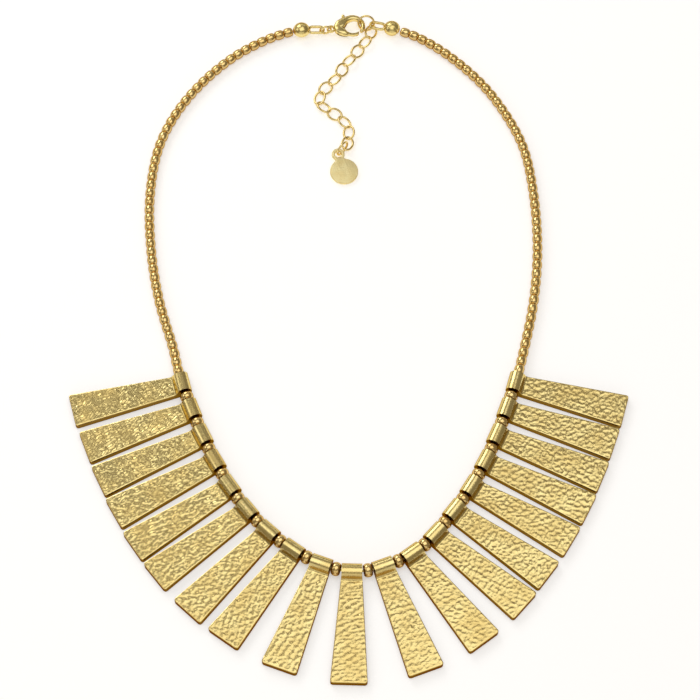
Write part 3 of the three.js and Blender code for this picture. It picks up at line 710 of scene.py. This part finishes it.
polished_gold = gold_tone(
    "polished gold", (0.94, 0.76, 0.36), (0.86, 0.67, 0.28), 4 * mm, 0.16, 0.08,
    edge=(0.8, 0.62, 0.32))
cast_gold = gold_tone(
    "cast gold", (0.94, 0.77, 0.34), (0.86, 0.68, 0.26), 3 * mm, 0.22, 0.08)


def oval_stations(length, width, wire, steps):
    """The middle line of a ring of wire drawn out along X, flat about the origin."""
    stretch = (length - width) / 2
    radius = (width - wire) / 2
    stations = []
    for i in range(steps):
        angle = 2 * math.pi * (i + 0.5) / steps
        x = radius * math.cos(angle)
        place = Vector((x + math.copysign(stretch, x), radius * math.sin(angle), 0))
        stations.append((place, wire / 2))
    return stations


def placed(stations, centre, heading, roll=0.0):
    """Stations turned about X, then in plan, and moved to their centre."""
    turn = Matrix.Rotation(heading, 3, "Z") @ Matrix.Rotation(roll, 3, "X")
    return [(turn @ place + centre, radius) for place, radius in stations]


def solid(name, mesh):
    """An object of the scene out of a mesh that is still being edited."""
    data = bpy.data.meshes.new(name)
    mesh.to_mesh(data)
    mesh.free()
    whole = bpy.data.objects.new(name, data)
    bpy.context.scene.collection.objects.link(whole)
    return whole


def settled(piece):
    """Makes a piece's modifiers part of its plain mesh."""
    bpy.context.view_layer.update()
    graph = bpy.context.evaluated_depsgraph_get()
    piece.data = bpy.data.meshes.new_from_object(piece.evaluated_get(graph))
    piece.modifiers.clear()


def finished(piece, finish):
    """Gives a piece its one material and its shading."""
    piece.data.materials.clear()
    piece.data.materials.append(finish)
    return rounded(piece)


def fused(name, pieces, finish, soften=3):
    """One casting out of several pieces, fused by a fine remesh and softened."""
    mesh = bmesh.new()
    for piece in pieces:
        mesh.from_mesh(piece.data)
        bpy.data.objects.remove(piece)
    bmesh.ops.remove_doubles(mesh, verts=mesh.verts, dist=0.001 * mm)
    bmesh.ops.recalc_face_normals(mesh, faces=mesh.faces)
    whole = solid(name, mesh)
    remesh = whole.modifiers.new("fuse", "REMESH")
    remesh.mode = "VOXEL"
    remesh.voxel_size = fusing_voxel
    smooth = whole.modifiers.new("soften", "SMOOTH")
    smooth.iterations = soften
    settled(whole)
    return finished(whole, finish)


# Each loop points at the ring beside it. One ring hangs on the clasp's eye and the other
# on its hook, so the clasp is placed here.
clasp_turn = math.radians(8)
clasp_middle = 2.05 * mm
clasp_centre = laid_out([(0.9, 107.1)], clasp_middle)[0]
clasp_half_width = 3.6 * mm
eye_reach = clasp_half_width + 3.0 * mm
hook_radius = 2.975 * mm
ring_wire = 0.6 * mm
clasp_ring_size = 3.8 * mm
clasp_ring_reach = eye_reach + (clasp_ring_size - ring_wire) / 2
clasp_ring_centre = clasp_centre - clasp_ring_reach * Vector(
    (math.cos(clasp_turn), math.sin(clasp_turn), 0)
)
clasp_ring_centre.z = clasp_ring_size / 2
end_ring_size = 5.3 * mm
end_ring_lean = math.radians(28)
end_ring_out = 0.9 * mm
end_ring_up = 1.0 * mm
end_ring_centre = clasp_centre + Vector((hook_radius + end_ring_out, end_ring_up, 0))
end_ring_centre.z = (end_ring_size - ring_wire) / 2 * math.cos(end_ring_lean) + ring_wire / 2

for side, end, target in (
    ("left", Vector(necklace_path[0][0]), clasp_ring_centre),
    ("right", Vector(necklace_path[0][-1]), end_ring_centre),
):
    way = (target - end).to_2d().normalized()
    heading = math.atan2(way.y, way.x)
    centre = end + tip_length / 2 * way.to_3d()
    centre.z = tip_height / 2
    shell_mesh = bmesh.new()
    bmesh.ops.create_uvsphere(shell_mesh, u_segments=48, v_segments=32, radius=1)
    for vert in shell_mesh.verts:
        flat = vert.co.copy()
        if side == "left":
            swell = 1 + tip_rim * math.exp(-((flat.z - rim_place) / rim_width) ** 2)
        else:
            off_seam = flat.y - seam_place + seam_slant * flat.x
            swell = 1 - tip_seam * math.exp(-(off_seam / seam_width) ** 2)
        vert.co = Vector((
            flat.x * tip_length / 2 * swell,
            flat.y * tip_width / 2 * swell,
            flat.z * tip_height / 2,
        ))
    shell_mesh.transform(Matrix.Translation(centre) @ Matrix.Rotation(heading, 4, "Z"))
    shell = solid("shell", shell_mesh)
    loop_start = Vector((tip_length / 2 + loop_length / 2 - loop_seat, 0, 0))
    loop_line = [
        (place + loop_start, radius)
        for place, radius in oval_stations(loop_length, loop_width, loop_wire, 48)
    ]
    loop = made_by(
        skin_tree,
        stations_mesh("loop", placed(loop_line, centre, heading), closed=True),
        "loop", {"Sides": 14, "Finish": polished_gold},
    )
    tip = fused(f"bead_tip_{side}_pressed", [shell, loop], cast_gold)
    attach(tip, "necklace")
    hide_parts(f"bead_tip_{side}")

# Jump rings
# Three rings of round wire join the clasp, the tips, the chain and the disc. They are
# bent closed and polished, and drawn a tenth thicker than the wire of the solids.
drawn_thicker = 1.1

# The charm ring stands on edge in the hole of the disc's tab, so the disc is placed here.
disc_radius = 4.0 * mm
disc_thickness = 0.9 * mm
tab_radius = 1.85 * mm
tab_overlap = 0.2 * mm
tab_reach = disc_radius + tab_radius - tab_overlap
tab_lift = 0.95 * mm
disc_middle, tab_middle = laid_out([(-1.7, 57.4), (-3.4, 57.4)], 0)
disc_tilt = math.asin(tab_lift / (tab_reach + disc_radius))
disc_heading = math.acos((tab_middle - disc_middle).x / (tab_reach * math.cos(disc_tilt)))
disc_middle.z = math.sin(disc_tilt) * disc_radius
disc_place = (
    Matrix.Translation(disc_middle)
    @ Matrix.Rotation(disc_heading, 4, "Z")
    @ Matrix.Rotation(-disc_tilt, 4, "Y")
    @ Matrix.Translation((0, 0, disc_thickness / 2))
)
charm_ring_size = 4.9 * mm
charm_ring_heading = math.radians(50)
tab_hole = disc_place @ Vector((tab_reach, 0, 0))
ring_run = math.sqrt(
    ((charm_ring_size - ring_wire) / 2) ** 2 - (charm_ring_size / 2 - tab_hole.z) ** 2)
charm_ring_centre = tab_hole + ring_run * Vector(
    (math.cos(charm_ring_heading), math.sin(charm_ring_heading), 0)
)
charm_ring_centre.z = charm_ring_size / 2

for node, diameter, centre, heading, lean in (
    ("clasp_ring", clasp_ring_size, clasp_ring_centre, clasp_turn, 0),
    ("end_ring", end_ring_size, end_ring_centre, 0, end_ring_lean),
    ("charm_ring", charm_ring_size, charm_ring_centre, charm_ring_heading, 0),
):
    circle = placed(
        oval_stations(diameter, diameter, drawn_thicker * ring_wire, 48), centre, heading,
        math.pi / 2 - lean)
    ring = made_by(
        skin_tree, stations_mesh(node, circle, closed=True), node + "_bent",
        {"Sides": 14, "Finish": polished_gold},
    )
    rounded(ring)
    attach(ring, "necklace")
    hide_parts(node)

# Clasp
# The lobster clasp is cast and tumbled, so its cheeks and its hook are round all over.
# A slot is sawn between the cheeks for the lever, and a pin is pressed across it.
clasp_place = Matrix.Translation(clasp_centre) @ Matrix.Rotation(clasp_turn, 4, "Z")
clasp_half_height = 1.22 * mm
clasp_flatness = 1.5
pin_length = 1.5 * clasp_half_height
eye_width = 2.6 * mm
eye_bar = 0.65 * mm
lever_pivot = Vector((-2.95, -1.35, 0)) * mm
pin_radius = 0.3 * mm
slot_half = 0.6 * mm
slot_left = -4.9 * mm
slot_top = lever_pivot.y + 0.9 * mm
slot_overlap = 0.1 * mm
nub_side = -1.75 * mm
upper_line = [
    (-5.8, 0, 0.35), (-5.2, 0.1, 0.95), (-4.4, 0.5, 1.35), (-3.6, 1.1, 1.55),
    (-2.9, 1.7, 1.4), (-2.2, 2.25, 1.17), (-1.4, 2.64, 0.98),
]
lower_line = [
    (-5.8, 0, 0.35), (-5.2, -0.1, 0.9), (-4.5, -0.55, 1.25), (-3.9, -1.05, 1.32),
    (-3.3, -1.6, 1.2), (-2.75, -2.12, 0.95), (-2.2, -2.55, 0.65), (-1.8, -2.8, 0.4),
]
for degrees, thickness in (
    (95, 0.9), (75, 0.84), (50, 0.76), (20, 0.7), (-10, 0.66), (-35, 0.58), (-50, 0.36),
):
    upper_line.append((
        hook_radius / mm * math.cos(math.radians(degrees)),
        hook_radius / mm * math.sin(math.radians(degrees)),
        thickness,
    ))


def cast_branch(name, rows):
    """One round branch of the casting, through rows of (x, y, radius) in millimetres."""
    places, _ = path_through([Vector(row) * mm for row in rows], 8)
    stations = [(clasp_place @ Vector((x, y, 0)), radius) for x, y, radius in places]
    return made_by(
        skin_tree, stations_mesh(name, stations), name, {"Sides": 32, "Finish": cast_gold})


def block(left, bottom, right, top):
    """A box as high as the lever's slot, from one corner to the other in plan."""
    mesh = bmesh.new()
    bmesh.ops.create_cube(mesh, size=1)
    mesh.transform(
        clasp_place
        @ Matrix.Translation(((left + right) / 2, (bottom + top) / 2, 0))
        @ Matrix.Diagonal((right - left, top - bottom, 2 * slot_half, 1))
    )
    return solid("block", mesh)


def cut(piece, tool, operation="DIFFERENCE"):
    """Cuts one closed piece with another, or joins them, and takes the tool away."""
    modifier = piece.modifiers.new("cut", "BOOLEAN")
    modifier.operation = operation
    modifier.solver = "EXACT"
    modifier.object = tool
    settled(piece)
    bpy.data.objects.remove(tool)


eye_line = placed(
    oval_stations(eye_width, eye_width, eye_bar, 32),
    clasp_place @ Vector((-eye_reach, 0, 0)), clasp_turn)
clasp_eye = made_by(
    skin_tree, stations_mesh("clasp_eye", eye_line, closed=True), "clasp_eye",
    {"Sides": 16, "Finish": cast_gold},
)
clasp_body = fused(
    "clasp_body_tumbled",
    [clasp_eye, cast_branch("upper_cheek", upper_line), cast_branch("lower_cheek", lower_line)],
    cast_gold, 8,
)
for vert in clasp_body.data.vertices:
    rise = (vert.co.z - clasp_middle) / clasp_half_height
    vert.co.z = clasp_middle + clasp_half_height * math.tanh(clasp_flatness * rise)
cut(clasp_body, block(slot_left, -2 * hook_radius, nub_side, 2 * hook_radius))
cut(clasp_body, block(nub_side - slot_overlap, -2 * hook_radius, 0, slot_top))
pin_mesh = bmesh.new()
bmesh.ops.create_cone(
    pin_mesh, cap_ends=True, segments=24, radius1=pin_radius, radius2=pin_radius,
    depth=pin_length)
pin_mesh.transform(clasp_place @ Matrix.Translation(lever_pivot))
cut(clasp_body, solid("pin", pin_mesh), "UNION")
finished(clasp_body, cast_gold)
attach(clasp_body, "necklace")
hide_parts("clasp_body")

# Clasp lever
# The cast lever turns on the pin between the cheeks. Its gate closes the hook, its nub
# stands out above, and its tail fills the slot flush with the cheeks' lower edge.
lever_half = 0.4 * mm
tail_line = [
    (-4.7, -1.9), (-4.3, -2.2), (-3.8, -2.5), (-3.2, -2.8), (-2.6, -3.02), (-1.9, -3.15),
    (-1.4, -2.6), (-2.2, -1.5), (-2.95, -0.9), (-4.2, -0.9), (-4.7, -1.2),
]
tail_mesh = bmesh.new()
tail_edges = [
    [tail_mesh.verts.new(clasp_place @ Vector((x * mm, y * mm, rise))) for x, y in tail_line]
    for rise in (-lever_half, lever_half)
]
for edge in tail_edges:
    tail_mesh.faces.new(edge)
for i in range(len(tail_line)):
    j = (i + 1) % len(tail_line)
    tail_mesh.faces.new(
        (tail_edges[0][i], tail_edges[0][j], tail_edges[1][j], tail_edges[1][i]))
gate = bpy.data.objects.new("lever_gate", bpy.data.objects["clasp_lever"].data.copy())
gate.data.transform(bpy.data.objects["clasp_lever"].matrix_world)
bpy.context.scene.collection.objects.link(gate)
lever = fused("clasp_lever_tumbled", [gate, solid("lever_tail", tail_mesh)], cast_gold, 6)
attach(lever, "lever")
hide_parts("clasp_lever")

# Extension chain
# Thirteen oval links of round wire are soldered where they cross and rolled to either
# side in turn.
link_count = 13
link_width = 3.7 * mm
link_wire = 0.6 * mm
link_solder = 0.2 * mm
link_roll = 20
chain_end_lift = 0.35 * mm
chain_points = [
    (6.95, 107.85), (4.4, 102.0), (-0.8, 95.2), (-4.6, 88.6), (-8.6, 84.4), (-9.3, 81.4),
    (-7.0, 78.6), (-1.8, 75.0), (0.0, 70.3), (-1.3, 64.8),
]
chain_height = (link_width - link_wire) / 2 * math.sin(math.radians(link_roll)) + link_wire / 2
chain_line = laid_out(chain_points, chain_height)
chain_line[-1].z += chain_end_lift
chain_path = path_through(chain_line)
link_pitch = chain_path[1][-1] / link_count
link_length = link_pitch + 2 * link_wire - link_solder
link_stations = []
for i in range(40):
    angle = 2 * math.pi * i / 40
    place = Vector((
        (link_length - link_wire) / 2 * math.cos(angle),
        (link_width - link_wire) / 2 * math.sin(angle),
        0,
    ))
    link_stations.append((place, drawn_thicker * link_wire / 2))
link = made_by(
    skin_tree, stations_mesh("link", link_stations, closed=True), "link",
    {"Sides": 12, "Finish": polished_gold},
)
link_places = []
for i in range(link_count):
    start, _ = along(chain_path, i * link_pitch)
    stop, _ = along(chain_path, (i + 1) * link_pitch)
    way = (stop - start).normalized()
    roll = -link_roll if i % 2 == 0 else link_roll
    link_places.append((start + way * link_pitch / 2, way, roll))
chain = set_out("extension_chain_soldered", link.data, link_places, polished_gold, True)
bpy.data.objects.remove(link)
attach(chain, "necklace")
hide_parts("extension_chain")

# Disc
# The plain disc is cast in one with its holed tab, with small fillets where they meet.
# It has a fine matte grain all over, and a rounded rim.
disc_bevel = 0.2 * mm
tab_bore = 0.95 * mm


def disc_outline(steps):
    """The disc and its tab in one line, joined by small fillets where they meet."""
    fillet = 0.5 * mm
    big, small = disc_radius + fillet, tab_radius + fillet
    x = (tab_reach ** 2 + big ** 2 - small ** 2) / (2 * tab_reach)
    y = math.sqrt(big ** 2 - x ** 2)
    to_disc = math.atan2(y, x)
    to_tab = math.atan2(y, x - tab_reach)
    half = [
        (disc_radius * math.cos(angle), disc_radius * math.sin(angle))
        for angle in np.linspace(math.pi, to_disc, steps)
    ]
    half += [
        (x + fillet * math.cos(angle), y + fillet * math.sin(angle))
        for angle in np.linspace(to_disc + math.pi, to_tab + math.pi, 8)[1:-1]
    ]
    half += [
        (tab_reach + tab_radius * math.cos(angle), tab_radius * math.sin(angle))
        for angle in np.linspace(to_tab, 0, steps // 2)
    ]
    return half + [(x, -y) for x, y in reversed(half[1:-1])]


disc_curve = bpy.data.curves.new("disc", "CURVE")
disc_curve.dimensions = "2D"
disc_curve.fill_mode = "BOTH"
disc_curve.extrude = disc_thickness / 2 - disc_bevel
disc_curve.bevel_depth = disc_bevel
disc_curve.bevel_resolution = 3
disc_curve.offset = -disc_bevel
bore_line = [
    (tab_reach + tab_bore * math.cos(angle), tab_bore * math.sin(angle))
    for angle in np.linspace(0, 2 * math.pi, 32, endpoint=False)
]
for line in (disc_outline(72), bore_line):
    spline = disc_curve.splines.new("POLY")
    spline.points.add(len(line) - 1)
    for point, (x, y) in zip(spline.points, line):
        point.co = (x, y, 0, 1)
    spline.use_cyclic_u = True
disc_shape = bpy.data.objects.new("disc_shape", disc_curve)
bpy.context.scene.collection.objects.link(disc_shape)
bpy.context.view_layer.update()
disc_graph = bpy.context.evaluated_depsgraph_get()
disc_data = bpy.data.meshes.new_from_object(disc_shape.evaluated_get(disc_graph))
bpy.data.objects.remove(disc_shape)
disc_data.transform(disc_place)
disc_mesh = bmesh.new()
disc_mesh.from_mesh(disc_data)
bmesh.ops.remove_doubles(disc_mesh, verts=disc_mesh.verts, dist=0.001 * mm)
bmesh.ops.recalc_face_normals(disc_mesh, faces=disc_mesh.faces)
matte_gold = gold_tone(
    "matte gold", (0.98, 0.86, 0.47), (0.95, 0.80, 0.39), 2 * mm, 0.42, 0.1)
fine_grain(matte_gold, 0.45 * mm, 6, 0.8, 0.12 * mm)
disc = finished(solid("charm_disc_cast", disc_mesh), matte_gold)
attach(disc, "necklace")
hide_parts("charm_disc")

# Floor, light and world
# A plain white table stands under one large softbox. Smaller lamps stand behind, at the
# left and at the upper left, and a wide one in front. The world adds a faint warm fill.
floor_mesh = bpy.data.meshes.new("table")
floor_size = 1.6
floor_mesh.from_pydata(
    [(-floor_size, -floor_size, 0), (floor_size, -floor_size, 0),
     (floor_size, floor_size, 0), (-floor_size, floor_size, 0)],
    [], [(0, 1, 2, 3)],
)
floor = bpy.data.objects.new("table", floor_mesh)
bpy.context.scene.collection.objects.link(floor)
floor_paint = bpy.data.materials.new("white table")
floor_paint.use_nodes = True
floor_shader = floor_paint.node_tree.nodes["Principled BSDF"]
floor_shader.inputs["Base Color"].default_value = (0.92, 0.92, 0.92, 1)
floor_shader.inputs["Roughness"].default_value = 0.9
floor_shader.inputs["Specular IOR Level"].default_value = 0.1
floor_shader.inputs["Emission Color"].default_value = (1, 1, 1, 1)
floor_shader.inputs["Emission Strength"].default_value = 0.44
floor_mesh.materials.append(floor_paint)

for name, place, width, depth, radiance in (
    ("overhead", (0.04, -0.07, 0.85), 0.9, 0.75, 1.07),
    ("back", (0.0, 0.70, 0.39), 0.9, 0.12, 1.0),
    ("left", (-0.66, 0.05, 0.46), 0.35, 0.35, 1.1),
    ("key", (-0.35, 0.55, 0.50), 0.40, 0.40, 2.4),
    ("front", (0.0, -0.80, 0.30), 1.2, 0.5, 0.50),
):
    lamp_data = bpy.data.lights.new(name, "AREA")
    lamp_data.shape = "RECTANGLE"
    lamp_data.size = width
    lamp_data.size_y = depth
    lamp_data.energy = math.pi * width * depth * radiance
    lamp = bpy.data.objects.new(name, lamp_data)
    lamp.location = place
    lamp.rotation_euler = (-Vector(place)).to_track_quat("-Z", "Y").to_euler()
    bpy.context.scene.collection.objects.link(lamp)

world = bpy.data.worlds.new("studio")
world.use_nodes = True
world.node_tree.nodes["Background"].inputs["Color"].default_value = (1, 0.88, 0.72, 1)
world.node_tree.nodes["Background"].inputs["Strength"].default_value = 0.22
bpy.context.scene.world = world
